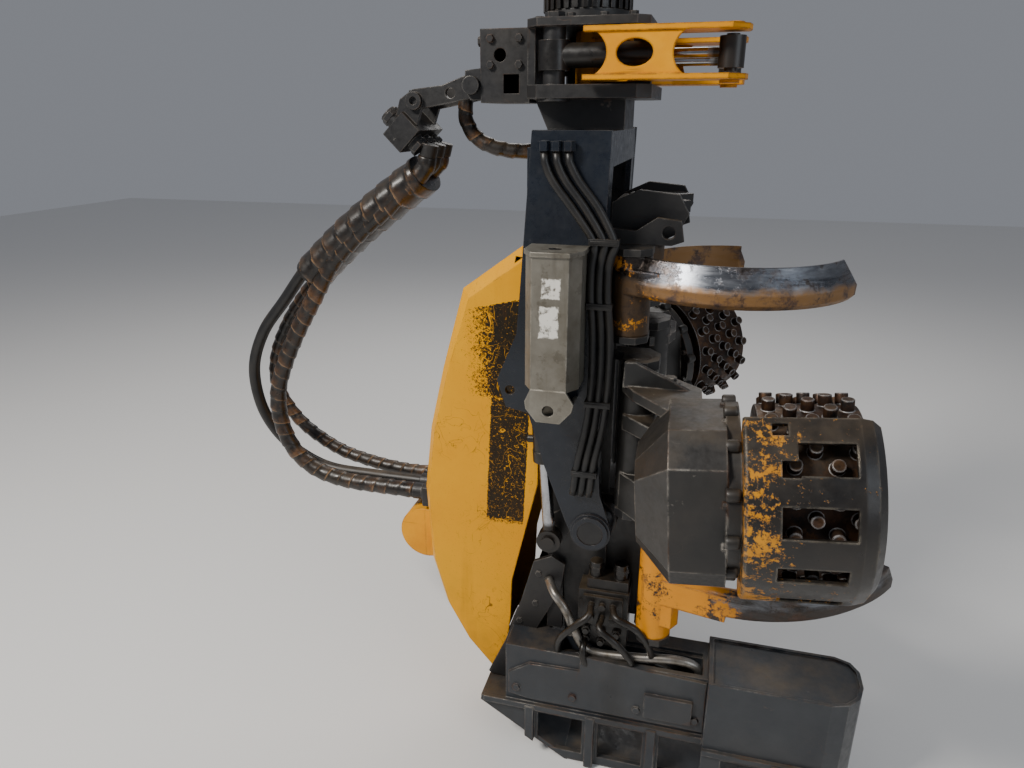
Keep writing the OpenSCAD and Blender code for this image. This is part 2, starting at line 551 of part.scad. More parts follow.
// columns: place along the roller's axis, and size against the full section
HOUSING = [[-328, 0.55, 12], [-260, 1, 0]];
module roller_arm() color(dark) difference() {
  union() {
    rod_z(ARM_PIN.x, ARM_PIN.y, 44, -1439.5, -1080.5);
    flat_plate(-1130, -1106, [[138, -158], [196, -142], [250, -170], [322, -238], [326, -330],
      [262, -390], [176, -290], [146, -232]]);
    side_plate(-262, -250, [[150, -1110], [152, -1052], [176, -1050], [306, -1110]]);
    rod_z(252, -222, 22, -1107, -1100);
    bolt_z(252, -222, -1101, 14, 12);
    flat_plate(-1226, -1188, [[142, -160], [200, -148], [310, -250], [330, -330], [270, -400],
      [214, -292], [150, -230]]);
    flat_plate(-1438, -1340, [[142, -160], [204, -150], [300, -250], [330, -330], [270, -400],
      [220, -300], [150, -226]]);
    at_roller() {
      hull() for (h = HOUSING) translate([h[2], 0, h[0]]) linear_extrude(2)
        polygon([for (q = housing) h[1] * q]);
      translate([0, 0, -259]) linear_extrude(107) polygon(housing);
      translate([0, 0, -153]) cylinder(r = 176, h = 27);
      translate([0, 0, -127]) cylinder(r = 60, h = 17);
      translate([0, 0, -111]) cylinder(r = 30, h = 24);
      for (i = [0:11]) rotate([0, 0, 30 * i + 15]) translate([167, 0, -161])
        cylinder(r = 8, h = 9, $fn = 6);
    }
  }
  rod_z(ARM_PIN.x, ARM_PIN.y, 26.05, -1500, -1000);
}
module roller_arm_near() roller_arm();
module roller_arm_far() far(ARM_PIN, far_arm_open) roller_arm();

// guard with windows round the outer side of the roller, turned about the roller's axis
guard_r = roller_r + 24;
// columns: angle from level, upward first, half height, and where it starts and ends
WINDOWS = [[-56, 13, -76, -48], [-41, 30, -34, 62], [-36, 15, -62, -30], [-11, 29, -62, 62],
  [18, 19, -66, 54], [48, 26, -60, 56]];
module roller_guard() color(dark) at_roller() difference() {
  rotate([0, 0, 207]) rotate_extrude(angle = 136, $fn = 72)
    polygon([[150, -116], [150, -126], [guard_r - 4, -126], [guard_r, -122], [guard_r, 74],
      [guard_r - 6, 96], [guard_r - 24, 112], [guard_r - 52, 118], [guard_r - 52, 109],
      [guard_r - 28, 104], [guard_r - 14, 90], [guard_r - 10, 72], [guard_r - 10, -116]]);
  for (w = WINDOWS) rotate([0, 0, 270 + w[0]]) translate([guard_r - 30, -w[1], w[2]])
    cube([60, 2 * w[1], w[3] - w[2]]);
}
module roller_guard_near() roller_guard();
module roller_guard_far() far(ARM_PIN, far_arm_open) roller_guard();

// studded roller: rows of wedge studs on a drum
module feed_roller() color(steel) at_roller() {
  difference() {
    union() {
      translate([0, 0, -roller_w / 2]) cylinder(r = roller_r - 24, h = roller_w);
      translate([0, 0, -109.7]) cylinder(r = 56, h = 111.7 - roller_w / 2);
    }
    translate([0, 0, -111]) cylinder(r = 30.05, h = 26);
  }
  translate([0, 0, roller_w / 2 - 1]) cylinder(r = 90, h = 8);
  for (i = [0:7]) rotate([0, 0, 45 * i]) translate([70, 0, roller_w / 2 + 6])
    cylinder(r = 8, h = 7, $fn = 6);
  pitch = (roller_w - 10) / stud_rows;
  for (k = [0:stud_rows - 1], i = [0:stud_count - 1])
    rotate([0, 0, (i + 0.5 * (k % 2)) * 360 / stud_count])
      translate([roller_r - 28, -10, (k - (stud_rows - 1) / 2) * pitch - 9]) cube([28, 20, 18]);
}
module feed_roller_near() feed_roller();
module feed_roller_far() far(ARM_PIN, far_arm_open) feed_roller();

// saw box: open toward the tree, with the bar parked along the near wall and a nose over its tip
nose = [[404, -290], [690, -290], [730, -277], [758, -248], [772, -206], [772, -150], [754, -118],
  [718, -104]];
body = [[-128, 160], [-128, -250], [404, -250]];
inner_nose = [[418, -276], [686, -276], [722, -264], [746, -240], [758, -203], [758, -118]];
ribs = [-70, 98, 262, 420, 575];
module saw_box() color(dark) {
  difference() {
    union() {
      flat_plate(-2070, -1880, concat(body, nose, [[150, -104], [60, 160]]));
      flat_plate(-2235, -2069, concat([[-200, 160], [-200, -250], [404, -250]], nose,
        [[150, -104], [60, 160]]));
      flat_plate(-1881, -1858, concat([[404, -104]], nose));
      // strip and step along the near side
      side_plate(-258, -249, [[-118, -2034], [-118, -1966], [-60, -1926], [76, -1922], [80, -1872],
        [402, -1888], [403, -2044], [-60, -2044]]);
      slab([-190, -262, -2078], [404, -249, -2060]);
      slab([404, -300, -2078], [700, -289, -2062]);
      for (x = ribs) slab([x, -266, -2235], [x + 24, -249, -2066]);
      slab([575, -304, -2235], [599, -289, -2066]);
    }
    // hollow of the upper part
    flat_plate(-2072, -1892, concat([[-114, 146], [-114, -236], [418, -236]], inner_nose,
      [[164, -118], [80, 146]]));
    // hollow of the lower part, open toward the tree
    flat_plate(-2222, -2071, concat([[-186, 146], [-186, -236], [418, -236]], inner_nose,
      [[820, -118], [820, -60], [160, -60], [80, 146]]));
    // pressed top of the nose, inside its rim
    flat_plate(-1864, -1850, [[416, -282], [686, -282], [724, -270], [750, -243], [763, -205],
      [763, -152], [748, -124], [716, -112], [416, -112]]);
    // recess beside the valve block
    slab([14, -236, -1966], [390, -head_half + 2, -1870]);
    // sloped foot under the back
    side_plate(-400, 400, [[-260, -2060], [-201, -2086], [52, -2245], [-260, -2245]]);
    // openings between the ribs
    for (i = [0:2]) slab([ribs[i] + 34, -270, -2208], [ribs[i + 1] - 10, -230, -2092]);
    slab([454, -310, -2208], [566, -230, -2092]);
    slab([608, -310, -2208], [690, -230, -2092]);
    rod_z(SAW_PIN.x, SAW_PIN.y, 30, -1900, -1870);
  }
  // floor and wall of the recess
  slab([2, -240, -1978], [402, -head_half - 4, -1965]);
  slab([2, -head_half - 5, -1978], [402, -head_half + 4, -1890]);
  slab([1, -240, -1970], [14, -head_half - 3, -1890]);
  slab([390, -240, -1970], [403, -head_half - 3, -1890]);
  strip([-199, -2080], [50, -2237], 13, -249, 159);
  for (x = [-96, 60, 230, 380]) bolt_y(x, -257, -2010, 11, 7);
  slab([250, -268, -2022], [372, -257, -1950]);
}

// the motor stands inside the frame's side plate
motor_r = head_half - 13 + SAW_PIN.y;
module saw_motor() color(dark) {
  rod_z(SAW_PIN.x, SAW_PIN.y, motor_r, -1879.7, -1840);
  rod_z(SAW_PIN.x, SAW_PIN.y, motor_r - 6, -1841, -1770);
  rod_z(SAW_PIN.x, SAW_PIN.y, 29, -1960, -1878);
  for (i = [0:5]) bolt_z(SAW_PIN.x + 20 * cos(60 * i), SAW_PIN.y + 20 * sin(60 * i), -1771, 5, 7);
}

module saw_bar() color(steel) {
  translate([SAW_PIN.x, SAW_PIN.y, -2121]) rotate([0, 0, bar_parked]) linear_extrude(12)
    polygon([[-50, -24], [-30, -40], [0, -44], [bar_len - 116, -42], [bar_len - 36, -32], [bar_len, 0],
      [bar_len - 36, 32], [bar_len - 116, 42], [0, 44], [-30, 40], [-50, 24]]);
  rod_z(SAW_PIN.x, SAW_PIN.y, 38, -2128, -2060);
  rod_z(SAW_PIN.x, SAW_PIN.y, 20, -2061, -1960.3);
}

hanger();
rotator_body();
bracket();
hose_box();
hose_manifold();
yoke();
accumulator();
accu_guard();
loop_hose_a();
loop_hose_b();
loop_hose_c();
leg_hose_a();
leg_hose_b();
leg_hose_c();
column_hose();
gather_arm_near();
gather_arm_far();
gather_barrel_near();
gather_barrel_far();
gather_rod_near();
gather_rod_far();
tilt_barrels();
tilt_rods();
frame();
cover();
fittings();
top_knife();
valve_block();
measuring_arm();
measuring_wheel();
upper_knife_near();
upper_knife_far();
lower_knife_near();
lower_knife_far();
roller_arm_near();
roller_arm_far();
roller_guard_near();
roller_guard_far();
feed_roller_near();
feed_roller_far();
saw_box();
saw_motor();
saw_bar();
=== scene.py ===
"""Looks of the harvester head: hoses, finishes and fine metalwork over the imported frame.

Lengths are in metres, from the middle of the hanger's pin bore: x runs toward the rollers and
z up. Near pieces are at negative y, on the camera's side.
"""

import math

import bmesh
import bpy
from mathutils import Matrix, Vector


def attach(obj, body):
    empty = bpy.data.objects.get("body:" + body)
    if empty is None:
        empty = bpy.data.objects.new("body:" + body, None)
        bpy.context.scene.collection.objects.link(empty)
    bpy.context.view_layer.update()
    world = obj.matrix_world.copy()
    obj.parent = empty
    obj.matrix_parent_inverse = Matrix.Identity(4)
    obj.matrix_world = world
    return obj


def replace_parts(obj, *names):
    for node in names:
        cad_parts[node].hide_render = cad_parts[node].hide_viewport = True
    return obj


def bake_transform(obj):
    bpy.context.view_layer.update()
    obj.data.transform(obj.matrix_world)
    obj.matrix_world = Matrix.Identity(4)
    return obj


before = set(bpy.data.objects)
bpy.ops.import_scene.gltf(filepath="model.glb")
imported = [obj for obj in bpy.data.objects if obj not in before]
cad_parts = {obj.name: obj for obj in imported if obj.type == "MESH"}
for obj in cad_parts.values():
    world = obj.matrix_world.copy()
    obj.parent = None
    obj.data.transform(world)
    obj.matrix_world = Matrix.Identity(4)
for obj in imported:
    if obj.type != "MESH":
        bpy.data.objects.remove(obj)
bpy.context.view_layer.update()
bpy.ops.object.select_all(action="DESELECT")


# ---- camera ----

picture_width, focal_length = 1024, 740  # in pixels
pitch, turn, away = math.radians(20), math.radians(15), 1.85
off_axis, below = 0.171, 0.535
eye = bpy.data.cameras.new("camera")
eye.sensor_width = 36
eye.lens = 36 * focal_length / picture_width
eye.clip_end = 60
camera = bpy.data.objects.new("camera", eye)
camera.location = (-off_axis * math.cos(turn) + away * math.sin(turn),
    -off_axis * math.sin(turn) - away * math.cos(turn), -below)
camera.rotation_euler = (math.radians(90) - pitch, 0, turn)
bpy.context.collection.objects.link(camera)
bpy.context.scene.camera = camera


# ---- paints ----

def tint(red, green, blue):
    """A colour as a screen shows it, turned into the linear values that shaders use."""
    def linear(c):
        c /= 255
        return c / 12.92 if c < 0.04045 else ((c + 0.055) / 1.055) ** 2.4
    return (linear(red), linear(green), linear(blue), 1)


class Value:
    """A node socket that can be used in sums."""

    def __init__(self, paint, socket):
        self.paint, self.socket = paint, socket

    def maths(self, operation, a, b):
        return self.paint.node("ShaderNodeMath", {"operation": operation}, {0: a, 1: b})

    def __add__(self, other): return self.maths("ADD", self, other)
    def __radd__(self, other): return self.maths("ADD", other, self)
    def __sub__(self, other): return self.maths("SUBTRACT", self, other)
    def __rsub__(self, other): return self.maths("SUBTRACT", other, self)
    def __mul__(self, other): return self.maths("MULTIPLY", self, other)
    def __rmul__(self, other): return self.maths("MULTIPLY", other, self)
    def __pow__(self, other): return self.maths("POWER", self, other)
    def __or__(self, other): return self.maths("MAXIMUM", self, other)


class Paint:
    """A material whose nodes all come from one method."""

    def __init__(self, name):
        self.material = bpy.data.materials.new(name)
        self.material.use_nodes = True
        self.tree = self.material.node_tree
        self.surface = self.tree.nodes["Principled BSDF"]
        where = self.tree.nodes.new("ShaderNodeTexCoord")
        self.at = Value(self, where.outputs["Object"])
        self.facing = Value(self, where.outputs["Normal"])
        self.uv = Value(self, where.outputs["UV"])

    def node(self, kind, settings, sockets, out=0):
        """A new node of a kind. Settings come first, then its sockets' values or links."""
        made = self.tree.nodes.new(kind)
        for key, setting in settings.items():
            setattr(made, key, setting)
        for key, value in sockets.items():
            if isinstance(value, Value):
                self.tree.links.new(value.socket, made.inputs[key])
            else:
                made.inputs[key].default_value = value
        return Value(self, made.outputs[out])

    def stretched(self, x, y, z):
        """Object coordinates with a scale of their own along each axis."""
        return self.node("ShaderNodeMapping", {}, {"Vector": self.at, "Scale": (x, y, z)})

    def noise(self, scale, detail=4, rough=0.6, at=None, bend=0.0):
        return self.node("ShaderNodeTexNoise", {}, {"Vector": at or self.at, "Scale": scale,
            "Detail": detail, "Roughness": rough, "Distortion": bend})

    def step(self, value, low, high, to_low=0.0, to_high=1.0):
        """The value stretched from low..high to to_low..to_high, and held there."""
        return self.node("ShaderNodeMapRange", {"clamp": True}, {"Value": value,
            "From Min": low, "From Max": high, "To Min": to_low, "To Max": to_high})

    def mix(self, share, a, b):
        return self.node("ShaderNodeMix", {"data_type": "RGBA"}, {0: share, 6: a, 7: b}, 2)

    def absolute(self, value):
        return self.node("ShaderNodeMath", {"operation": "ABSOLUTE"}, {0: value})

    def fraction(self, value):
        return self.node("ShaderNodeMath", {"operation": "FRACT"}, {0: value})

    def part(self, value, axis):
        return self.node("ShaderNodeSeparateXYZ", {}, {0: value}, axis)

    def broken_edge(self, radius):
        """The surface's direction as if its sharp edges were broken."""
        return self.node("ShaderNodeBevel", {"samples": 4}, {"Radius": radius})

    def edges(self, radius):
        """1 along edges and 0 on flats."""
        flat = self.node("ShaderNodeNewGeometry", {}, {}, "Normal")
        same = self.node("ShaderNodeVectorMath", {"operation": "DOT_PRODUCT"},
            {0: self.broken_edge(radius), 1: flat}, "Value")
        return self.step(same, 0.995, 0.9)

    def scratches(self, scale):
        """Fine lines that run along x, broken up into short strokes."""
        lines = self.noise(scale, 2, 0.5, self.stretched(0.06, 1, 1), 0.4)
        broken = self.noise(3.1, 3, 0.6)
        return self.step(lines, 0.62, 0.65) * self.step(broken, 0.48, 0.6)

    def vein(self, scale, bend, width):
        """Fine curved lines, where a bent noise passes through its middle."""
        from_middle = self.absolute(self.noise(scale, 2, 0.5, None, bend) - 0.5)
        return self.step(from_middle, width, width * 0.4)

    def bump(self, height, depth, strength=1.0, under=None):
        sockets = {"Height": height, "Distance": depth, "Strength": strength}
        if under is not None:
            sockets["Normal"] = under
        return self.node("ShaderNodeBump", {}, sockets)

    def finish(self, **sockets):
        """Sets the surface's sockets, values straight on them and sums by links."""
        for name, value in sockets.items():
            key = name.replace("_", " ")
            if isinstance(value, Value):
                self.tree.links.new(value.socket, self.surface.inputs[key])
            else:
                self.surface.inputs[key].default_value = value
        return self.material


def dusty(paint, colour, share, dust=tint(116, 98, 74)):
    """Dust and dry mud that settles on faces that look up, and in broad patches."""
    up = paint.step(paint.part(paint.facing, 2), 0.25, 0.95)
    patches = paint.step(paint.noise(7, 6, 0.65), 0.42, 0.68)
    film = paint.step(paint.noise(2.3, 5, 0.6), 0.5, 0.8) * 0.25
    cover = (up * patches * share) | (film * share)
    return paint.mix(cover, colour, dust), cover


def worn_black(name, dark, light, bare, gloss, edge=0.004, dust=0.5, metal=tint(140, 136, 130)):
    """Dark machine paint: blotched, scuffed to steel on its edges, dusty on top."""
    p = Paint(name)
    rusty, oily = tint(92, 60, 38), tint(14, 13, 12)
    blotch = p.step(p.noise(5, 6, 0.62), 0.35, 0.7)
    colour = p.mix(blotch, dark, light)
    grit = p.noise(60, 5, 0.7)
    rim = p.edges(edge) * p.step(p.noise(24, 4, 0.7), 0.38, 0.6)
    chips = p.step(p.noise(17, 8, 0.72), 0.66, 0.69)
    scored = p.vein(5, 1.2, 0.0025) * p.step(p.noise(9, 4, 0.7), 0.54, 0.62)
    bared = ((rim * bare) | (chips * 0.5)) | (scored * 0.3)
    rust = p.step(p.noise(9, 5, 0.7), 0.45, 0.62)
    colour = p.mix(bared, colour, p.mix(rust, metal, rusty))
    oil = p.step(p.noise(4.3, 5, 0.6, p.stretched(1, 1, 0.35)), 0.52, 0.7)
    colour = p.mix(oil * 0.6, colour, oily)
    colour, film = dusty(p, colour, dust)
    rough = p.step(grit, 0.3, 0.7, gloss, gloss + 0.22) + film * 0.35 - oil * 0.08
    return p.finish(Base_Color=colour, Roughness=rough, Metallic=bared * 0.8,
        Normal=p.bump(grit * 0.4 + bared * -0.6, 0.0012, 0.6, p.broken_edge(edge * 0.6)))


def black_band(p, x, z):
    """Share of black that is left of the band on the cover: a strip beside the front edge, a patch
    above it that fades toward the back, and a faint tail below."""
    ragged = (p.noise(40, 6, 0.75) - 0.5) * 0.012
    height, along = z + ragged, x + ragged * 2
    # the strip leans with the cover's front edge
    from_back = x - (z + 1.215) * 0.0486 + ragged * 0.5
    from_front = x - (z + 1.205) * 0.0465 + ragged * 0.4
    strip_back, strip_front = (-0.193, -0.188), (-0.087, -0.09)
    strip_foot, strip_top = (-1.563, -1.553), (-1.19, -1.215)
    patch_back, patch_foot, patch_top = (-0.268, -0.172), (-1.215, -1.2), (-0.923, -0.929)
    tail_back, tail_foot, tail_top = (-0.25, -0.19), (-1.572, -1.56), (-1.5, -1.545)
    strip = (p.step(from_back, *strip_back) * p.step(height, *strip_foot)
        * p.step(height, *strip_top))
    patch = (p.step(along, *patch_back) * p.step(height, *patch_foot)
        * p.step(z - x * 0.22 + ragged * 0.5, *patch_top))
    tail = p.step(along, *tail_back) * p.step(height, *tail_foot) * p.step(z, *tail_top)
    front = p.step(from_front, *strip_front)
    return ((strip * 0.84) | (patch * 0.92) | (tail * 0.5)) * front


def cover_yellow():
    """Amber enamel, finely scratched, with the black band rubbed to specks on the cover's sides."""
    p = Paint("cover_amber")
    x, z = p.part(p.at, 0), p.part(p.at, 2)
    deep, light = tint(220, 148, 0), tint(238, 170, 0)
    black_dark, black_light = tint(16, 14, 12), tint(48, 38, 22)
    scratch, chipped, rubbed = tint(92, 54, 6), tint(60, 42, 22), tint(84, 62, 34)
    stain, dirt, dust = tint(150, 84, 4), tint(120, 74, 12), tint(170, 116, 26)
    colour = p.mix(p.step(p.noise(3, 6, 0.6), 0.3, 0.7), deep, light)
    left = black_band(p, x, z)
    side = p.step(p.absolute(p.part(p.facing, 1)), 0.93, 0.96)
    fine = p.noise(170, 7, 0.85)
    black = p.step(fine + left * 0.27, 0.625, 0.645) * p.step(left, 0.02, 0.1) * side
    cut = (p.vein(7, 1.4, 0.0045) | p.vein(13, 0.9, 0.004)) * p.step(p.noise(9, 4, 0.7), 0.47, 0.55)
    black = black * (1 - cut * 0.9)
    colour = p.mix(black, colour, p.mix(p.noise(60, 5), black_dark, black_light))
    scored = p.vein(5, 2.2, 0.0028) | p.vein(17, 1.2, 0.0024)
    scored = scored * p.step(p.noise(4, 5, 0.7), 0.5, 0.6)
    grit = p.step(p.noise(200, 5, 0.8), 0.6, 0.64) * p.step(p.noise(5, 5, 0.7), 0.42, 0.6)
    colour = p.mix((scored | grit) * (1 - black) * 0.8, colour, scratch)
    chips = p.step(p.noise(30, 9, 0.78), 0.69, 0.705)
    colour = p.mix(chips * 0.85, colour, chipped)
    rim = p.edges(0.005) * p.step(p.noise(26, 5, 0.7), 0.45, 0.62)
    colour = p.mix(rim * 0.8, colour, rubbed)
    runs = p.step(p.noise(24, 5, 0.6, p.stretched(1, 1, 0.07)), 0.56, 0.72)
    runs = runs * p.step(p.noise(3, 4), 0.45, 0.65)
    colour = p.mix(runs * 0.3, colour, stain)
    grime = p.step(z, -1.45, -2.0) * p.step(p.noise(6, 6, 0.65), 0.42, 0.7)
    colour = p.mix(grime * 0.4, colour, dirt)
    colour, _ = dusty(p, colour, 0.16, dust)
    rough = p.step(p.noise(40, 4), 0.3, 0.7, 0.3, 0.48) + (black | scored) * 0.2
    height = black * 0.3 + scored * -0.7 + p.noise(4, 3) * 1.5
    return p.finish(Base_Color=colour, Roughness=rough, Specular_IOR_Level=0.22,
        Normal=p.bump(height, 0.0008, 0.8, p.broken_edge(0.004)))


def worn_yellow(name, wear):
    """Yellow paint rubbed through to dark steel, for the gathering arms and the lug."""
    p = Paint(name)
    light, deep = tint(230, 156, 0), tint(206, 130, 0)
    steel, rusty = tint(58, 46, 34), tint(110, 72, 36)
    shade = p.step(p.noise(6, 6, 0.65), 0.35, 0.7)
    colour = p.mix(shade, light, deep)
    rim = p.edges(0.006) * p.step(p.noise(26, 5, 0.7), 0.34, 0.55)
    start = 0.8 - wear * 0.36
    rubbed = p.step(p.noise(9, 9, 0.8), start, start + 0.04) | rim | (p.scratches(60) * 0.8)
    colour = p.mix(rubbed * 0.92, colour, p.mix(p.noise(20, 6), steel, rusty))
    colour, film = dusty(p, colour, 0.45)
    rough = p.step(p.noise(45, 4), 0.3, 0.7, 0.32, 0.58) + film * 0.3
    height = rubbed * -0.6 + p.noise(50, 4) * 0.3
    return p.finish(Base_Color=colour, Roughness=rough, Metallic=rubbed * 0.4,
        Specular_IOR_Level=0.25, Normal=p.bump(height, 0.0012, 0.7, p.broken_edge(0.004)))


def knife_finish(name, root_x, root_y, reach, blade_z, lean, top, bottom, worn):
    """Blade steel polished by bark above and browned below, running into its yellow root. The root
    is round (root_x, root_y) on either side, as far as reach. A blade leans up along x."""
    p = Paint(name)
    polished, rusty, rust_film, stain = (tint(168, 172, 178), tint(74, 46, 26), tint(96, 70, 46),
        tint(40, 32, 26))
    root_dark, root_light = tint(34, 30, 27), tint(66, 52, 38)
    yellow_light, yellow_deep = tint(230, 152, 0), tint(190, 116, 0)
    x, y, z = (p.part(p.at, i) for i in range(3))
    streak = p.noise(24, 6, 0.7, p.stretched(0.3, 0.3, 1.8), 0.5)
    colour = p.mix(p.step(streak, 0.35, 0.7), top, p.mix(streak, top, polished))
    rise = z - blade_z - (x - 0.5) * lean
    low = p.step(rise + (p.noise(16, 8, 0.75) - 0.5) * 0.05, 0.046, 0.03)
    rust = p.step(p.noise(15, 8, 0.74), 0.5, 0.6)
    colour = p.mix(low * 0.85, colour, p.mix(rust, bottom, rusty))
    colour = p.mix(rust * (1 - low) * 0.4, colour, rust_film)
    dark = p.step(p.noise(30, 6, 0.7), 0.6, 0.66)
    colour = p.mix(dark * 0.5, colour, stain)
    ragged = (p.noise(13, 9, 0.8) - 0.5) * 0.2
    from_root = ((x - root_x) ** 2 + (p.absolute(y) - root_y) ** 2) ** 0.5 + ragged
    painted = p.step(from_root, reach, reach - 0.012)
    painted = painted * p.step(p.noise(11, 9, 0.82), worn, worn - 0.04)
    rim = p.edges(0.008) * p.step(p.noise(22, 5, 0.7), 0.36, 0.55)
    painted = painted * (1 - rim * 0.8)
    root = p.step(from_root, reach * 0.8, reach * 0.8 - 0.03)
    colour = p.mix(root * 0.8, colour, p.mix(p.noise(14, 6), root_dark, root_light))
    colour = p.mix(painted, colour, p.mix(p.noise(6, 5), yellow_light, yellow_deep))
    colour, _ = dusty(p, colour, 0.4)
    rough = p.step(streak, 0.3, 0.7, 0.2, 0.38) + (low | painted) * 0.22
    return p.finish(Base_Color=colour, Roughness=rough,
        Metallic=(1 - painted) * (0.9 - low * 0.55),
        Normal=p.bump(streak * 0.5 + rust * 0.4, 0.0016, 0.6, p.broken_edge(0.006)))


def sandy_roller():
    """Roller steel: dark and rusty between the studs, bright where they bite."""
    p = Paint("roller_steel")
    dark, rusty, bright = tint(34, 32, 32), tint(66, 44, 30), tint(190, 190, 190)
    bark_brown, dust = tint(120, 84, 50), tint(120, 98, 72)
    rust = p.step(p.noise(20, 7, 0.72), 0.4, 0.62)
    colour = p.mix(rust, dark, rusty)
    colour = p.mix(p.edges(0.004) * 0.8, colour, bright)
    bark = p.step(p.noise(34, 7, 0.75), 0.5, 0.58)
    colour = p.mix(bark * 0.3, colour, bark_brown)
    colour, film = dusty(p, colour, 0.35, dust)
    return p.finish(Base_Color=colour, Roughness=p.step(p.noise(50, 4), 0.3, 0.7, 0.35, 0.7),
        Metallic=0.7 - film * 0.6,
        Normal=p.bump(p.noise(90, 5, 0.7), 0.001, 0.7, p.broken_edge(0.003)))


def worn_guard(name, worn_at_root):
    """Guard paint: black, speckled with the yellow under it, and bright steel along its edges.
    One that is worn at its root has most of its yellow beside the motor's flange."""
    p = Paint(name)
    dark, light = tint(20, 19, 19), tint(40, 35, 30)
    yellow_light, yellow_dirty = tint(232, 158, 0), tint(160, 98, 8)
    steel, steel_dirty = tint(168, 162, 150), tint(112, 98, 78)
    x, z = p.part(p.at, 0), p.part(p.at, 2)
    colour = p.mix(p.step(p.noise(6, 6, 0.65), 0.35, 0.7), dark, light)
    torn = p.noise(11, 9, 0.8) * 0.45 + p.noise(70, 6, 0.8) * 0.55
    near_root = p.step(x, 0.53, 0.44) if worn_at_root else 0.3
    low = p.step(z, -1.36, -1.42)
    more = torn + near_root * 0.075 + near_root * low * 0.05 + low * 0.03
    yellow = p.step(more, 0.575, 0.6)
    colour = p.mix(yellow * 0.95, colour, p.mix(p.noise(30, 5), yellow_light, yellow_dirty))
    bared = p.edges(0.007) * p.step(p.noise(22, 6, 0.75), 0.4, 0.55)
    nose = p.step(x, 0.60, 0.70) * 0.06
    bared = bared | (p.step(torn + nose, 0.6, 0.63) * (1 - yellow) * 0.6)
    colour = p.mix(bared * 0.85, colour, p.mix(p.noise(25, 6), steel, steel_dirty))
    colour, film = dusty(p, colour, 0.3)
    rough = p.step(p.noise(45, 5), 0.3, 0.7, 0.26, 0.46) + film * 0.3
    height = torn * 0.7 + yellow * 0.4 + bared * -0.4
    return p.finish(Base_Color=colour, Roughness=rough, Metallic=bared * 0.75,
        Normal=p.bump(height, 0.0012, 0.8, p.broken_edge(0.006)))


def chromed(name, axis, start, end):
    """Hard chrome that turns into the rod's black eye between start and end along the axis."""
    p = Paint(name)
    bright, wiped, oily = tint(176, 178, 182), tint(132, 124, 114), tint(70, 60, 48)
    eye_dark, eye_light = tint(18, 17, 17), tint(44, 38, 32)
    wipe = p.noise(60, 3, 0.5, p.stretched(1, 1, 0.1))
    bare = p.step(p.part(p.at, axis), end, start)
    oil = p.step(p.noise(16, 5, 0.7), 0.48, 0.66)
    colour = p.mix(p.step(wipe, 0.5, 0.8), bright, wiped)
    colour = p.mix(oil * 0.5, colour, oily)
    colour = p.mix(bare, p.mix(p.noise(20, 5), eye_dark, eye_light), colour)
    rough = p.step(wipe, 0.3, 0.8, 0.12, 0.3) + (1 - bare) * 0.2
    return p.finish(Base_Color=colour, Roughness=rough, Metallic=bare)


def guard_silver():
    """Silver grey enamel on the accumulator guard, dirty, with two blank torn white patches."""
    p = Paint("guard_silver")
    light, deep, white_paint = tint(140, 136, 126), tint(106, 100, 88), tint(224, 220, 210)
    drip_brown, film_brown, rubbed = tint(64, 54, 42), tint(78, 70, 56), tint(190, 184, 172)
    x, z = p.part(p.at, 0), p.part(p.at, 2)
    colour = p.mix(p.step(p.noise(9, 6, 0.65), 0.35, 0.7), light, deep)
    ragged = (p.noise(46, 6, 0.8) - 0.5) * 0.022
    front = p.step(p.part(p.facing, 1), -0.8, -0.9)

    def patch(left, right, foot, top, soft=0.002):
        across, up = x + ragged, z + ragged
        return (p.step(across, left, left + soft) * p.step(across, right, right - soft)
            * p.step(up, foot, foot + soft) * p.step(up, top, top - soft))

    white = (patch(-0.022, 0.02, -0.90, -0.855) | patch(-0.026, 0.016, -0.985, -0.915)) * front
    white = white * p.step(p.noise(38, 6, 0.8), 0.6, 0.53)
    colour = p.mix(white, colour, white_paint)
    drip = p.noise(26, 5, 0.65, p.stretched(1, 1, 0.08))
    colour = p.mix(p.step(drip, 0.52, 0.68) * 0.4, colour, drip_brown)
    film = p.step(p.noise(20, 8, 0.75), 0.55, 0.6) * (1 - white)
    colour = p.mix(film * 0.4, colour, film_brown)
    rim = p.edges(0.005) * p.step(p.noise(30, 4), 0.4, 0.6)
    colour = p.mix(rim * 0.6, colour, rubbed)
    return p.finish(Base_Color=colour, Roughness=0.36 + p.noise(30, 4) * 0.2,
        Metallic=0.6 - white * 0.6,
        Normal=p.bump(white * 0.5 + p.noise(35, 4) * 0.2, 0.0006, 1.0, p.broken_edge(0.003)))


def wrapped_hose(name, brown, share):
    """Black spiral wrap: worn turns browned across, partly wear and partly painted sunlight, with a
    painted highlight on each lip.
    """
    p = Paint(name)
    dark, light = tint(16, 15, 15), tint(38, 34, 31)
    lip_highlight, scuff_brown = tint(152, 118, 82), tint(92, 76, 60)
    worn = p.step(p.noise(12, 7, 0.75), 0.44, 0.6)
    turn = p.fraction(p.part(p.uv, 0))
    sunny = p.step(p.noise(5, 4, 0.6), 0.36, 0.6)
    # brown ramp across each turn, in sunny patches on worn spots: wear, and painted sunlight on the
    # turn's lit side
    broad = p.step(turn + (p.noise(24, 5, 0.7) - 0.5) * 0.9, 0.2, 0.8) * worn * sunny
    # light line along each turn's lip: a painted highlight
    lip = p.step(turn + (p.noise(90, 4, 0.7) - 0.5) * 0.12, 0.86, 0.97)
    colour = p.mix(broad * share, p.mix(p.noise(20, 5), dark, light), brown)
    colour = p.mix(lip * worn * 0.75, colour, lip_highlight)
    scuff = p.step(p.noise(30, 7, 0.78), 0.6, 0.66)
    colour = p.mix(scuff * 0.5, colour, scuff_brown)
    colour, film = dusty(p, colour, 0.35)
    rough = p.step(p.noise(50, 4), 0.3, 0.7, 0.24, 0.46) + film * 0.3
    return p.finish(Base_Color=colour, Roughness=rough, Normal=p.bump(p.noise(120, 3), 0.0005, 0.5))


